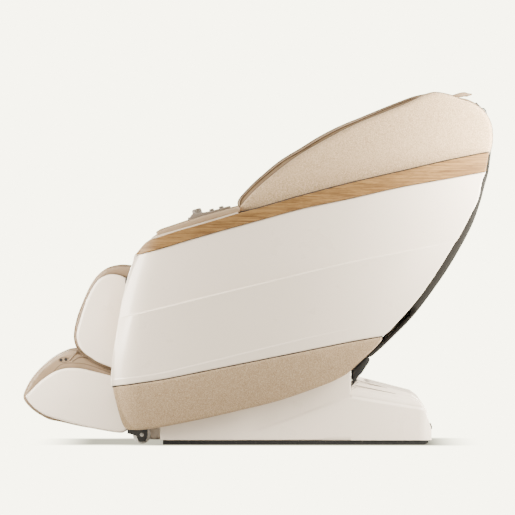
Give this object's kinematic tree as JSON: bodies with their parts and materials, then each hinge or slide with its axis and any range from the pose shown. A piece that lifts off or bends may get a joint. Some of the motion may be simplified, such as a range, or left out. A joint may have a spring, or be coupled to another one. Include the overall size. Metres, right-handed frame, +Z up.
{
  "type": "massage chair",
  "caption": "Full-body massage chair with bowed side panels, wood trim, fabric wings, a reclining backrest with travelling rollers, a lifting legrest and a low sliding base.",
  "frame": {"origin": "on the floor, under the middle of the chair's bounding box", "axes": "+Z up; -Y the way the sitter faces; +X the sitter's left"},
  "size_m": [0.78, 1.5539, 1.1668],
  "materials": {
    "gloss_white": "gloss",
    "wood": "satin",
    "fabric": "matte",
    "leather": "satin",
    "dark_plastic": "satin",
    "black_plastic": "satin",
    "rubber": "matte",
    "steel": "satin",
    "wheel_grey": "matte"
  },
  "bodies": {
    "base": {"base_shell": "gloss_white", "base_rear_hood": "gloss_white", "base_frame": "steel", "floor_strip_left": "rubber", "floor_strip_right": "rubber", "caster_bracket_left": "black_plastic", "caster_bracket_right": "black_plastic", "control_box": "black_plastic", "slide_actuator": "black_plastic", "power_inlet": "black_plastic"},
    "caster_left": {"caster_wheel_left": "wheel_grey"},
    "caster_right": {"caster_wheel_right": "wheel_grey"},
    "power_switch": {"power_switch": "black_plastic"},
    "carriage": {"seat_carriage": "steel"},
    "seat": {"seat_frame": "steel", "recline_gearmotor": "black_plastic", "side_panel_left": "gloss_white", "side_panel_right": "gloss_white", "wood_trim_left": "wood", "wood_trim_right": "wood", "lower_skirt_left": "fabric", "lower_skirt_right": "fabric", "arm_core_left": "leather", "arm_core_right": "leather", "armrest_pad_left": "leather", "armrest_pad_right": "leather", "seat_cushion": "leather", "control_pod": "dark_plastic"},
    "control_dial": {"control_dial": "dark_plastic"},
    "key_1": {"control_key_1": "dark_plastic"},
    "key_2": {"control_key_2": "dark_plastic"},
    "backrest": {"back_frame": "steel", "back_shell": "dark_plastic", "shoulder_wing_left": "fabric", "shoulder_wing_right": "fabric", "wing_liner_left": "leather", "wing_liner_right": "leather", "back_cushion": "leather", "lower_back_cover": "black_plastic", "pillow_strap": "leather"},
    "massage_carriage": {"massage_carriage": "black_plastic"},
    "kneading_shaft": {"kneading_shaft": "steel"},
    "massage_arm_left": {"massage_arm_left": "black_plastic"},
    "massage_arm_right": {"massage_arm_right": "black_plastic"},
    "roller_upper_left": {"massage_roller_upper_left": "wheel_grey"},
    "roller_lower_left": {"massage_roller_lower_left": "wheel_grey"},
    "roller_upper_right": {"massage_roller_upper_right": "wheel_grey"},
    "roller_lower_right": {"massage_roller_lower_right": "wheel_grey"},
    "head_pillow": {"head_pillow": "leather"},
    "legrest": {"legrest_frame": "black_plastic", "calf_cover_left": "gloss_white", "calf_cover_right": "gloss_white", "calf_cushion": "leather"},
    "foot_unit": {"foot_frame": "steel", "foot_cover_left": "gloss_white", "foot_cover_right": "gloss_white", "foot_cushion": "leather"},
    "foot_roller_left": {"foot_roller_left": "wheel_grey"},
    "foot_roller_right": {"foot_roller_right": "wheel_grey"}
  },
  "joints": [
    {"name": "body_slide", "type": "slide", "parent": "base", "child": "carriage", "axis": [0, -1, 0], "range_m": [0, 0.1]},
    {"name": "seat_tilt", "type": "hinge", "parent": "carriage", "child": "seat", "pos_m": [0, 0.29, 0.215], "axis": [-1, 0, 0], "range_deg": [0, 8]},
    {"name": "back_recline", "type": "hinge", "parent": "seat", "child": "backrest", "pos_m": [0, 0.26, 0.33], "axis": [-1, 0, 0], "range_deg": [0, 35]},
    {"name": "legrest_lift", "type": "hinge", "parent": "seat", "child": "legrest", "pos_m": [0, -0.412, 0.54], "axis": [-1, 0, 0], "range_deg": [0, 80]},
    {"name": "foot_extend", "type": "slide", "parent": "legrest", "child": "foot_unit", "axis": [0, 0, -1], "range_m": [0, 0.15]},
    {"name": "massage_travel", "type": "slide", "parent": "backrest", "child": "massage_carriage", "axis": [0, 0.5913, 0.8064], "range_m": [-0.1, 0.35]},
    {"name": "kneading_turn", "type": "hinge", "parent": "massage_carriage", "child": "kneading_shaft", "pos_m": [0, 0.3832, 0.60302], "axis": [1, 0, 0], "continuous": true},
    {"name": "massage_arm_swing_left", "type": "hinge", "parent": "massage_carriage", "child": "massage_arm_left", "pos_m": [0.072, 0.3832, 0.60302], "axis": [1, 0, 0], "range_deg": [-12, 12]},
    {"name": "roller_upper_turn_left", "type": "hinge", "parent": "massage_arm_left", "child": "roller_upper_left", "pos_m": [0.095, 0.39717, 0.66097], "axis": [1, 0, 0], "continuous": true},
    {"name": "roller_lower_turn_left", "type": "hinge", "parent": "massage_arm_left", "child": "roller_lower_left", "pos_m": [0.095, 0.33213, 0.57227], "axis": [1, 0, 0], "continuous": true},
    {"name": "caster_turn_left", "type": "hinge", "parent": "base", "child": "caster_left", "pos_m": [0.273, -0.382, 0.032], "axis": [1, 0, 0], "continuous": true},
    {"name": "foot_roller_turn_left", "type": "hinge", "parent": "foot_unit", "child": "foot_roller_left", "pos_m": [0.116, -0.56, 0.088], "axis": [1, 0, 0], "continuous": true},
    {"name": "massage_arm_swing_right", "type": "hinge", "parent": "massage_carriage", "child": "massage_arm_right", "pos_m": [-0.072, 0.3832, 0.60302], "axis": [1, 0, 0], "range_deg": [-12, 12]},
    {"name": "roller_upper_turn_right", "type": "hinge", "parent": "massage_arm_right", "child": "roller_upper_right", "pos_m": [-0.095, 0.39717, 0.66097], "axis": [1, 0, 0], "continuous": true},
    {"name": "roller_lower_turn_right", "type": "hinge", "parent": "massage_arm_right", "child": "roller_lower_right", "pos_m": [-0.095, 0.33213, 0.57227], "axis": [1, 0, 0], "continuous": true},
    {"name": "caster_turn_right", "type": "hinge", "parent": "base", "child": "caster_right", "pos_m": [-0.273, -0.382, 0.032], "axis": [1, 0, 0], "continuous": true},
    {"name": "foot_roller_turn_right", "type": "hinge", "parent": "foot_unit", "child": "foot_roller_right", "pos_m": [-0.116, -0.56, 0.088], "axis": [1, 0, 0], "continuous": true},
    {"name": "pillow_flip", "type": "hinge", "parent": "backrest", "child": "head_pillow", "pos_m": [0, 0.596, 1.113], "axis": [-1, 0, 0], "range_deg": [0, 110]},
    {"name": "dial_turn", "type": "hinge", "parent": "seat", "child": "control_dial", "pos_m": [0.317, -0.196, 0.76], "axis": [0, -0.284, 0.9588], "range_deg": [-150, 150]},
    {"name": "key_press_1", "type": "slide", "parent": "seat", "child": "key_1", "axis": [0, 0.284, -0.9588], "range_m": [0, 0.0015], "stiffness_N_per_m": 400, "springref_m": -0.0005},
    {"name": "key_press_2", "type": "slide", "parent": "seat", "child": "key_2", "axis": [0, 0.284, -0.9588], "range_m": [0, 0.0015], "stiffness_N_per_m": 400, "springref_m": -0.0005},
    {"name": "power_switch_rock", "type": "hinge", "parent": "base", "child": "power_switch", "pos_m": [0.037, 0.579, 0.0495], "axis": [0, 0, 1], "range_deg": [-8, 8]}
  ],
  "couplings": [
    {"joint": "foot_extend", "follows": "legrest_lift", "m_per_rad": 0.107}
  ]
}
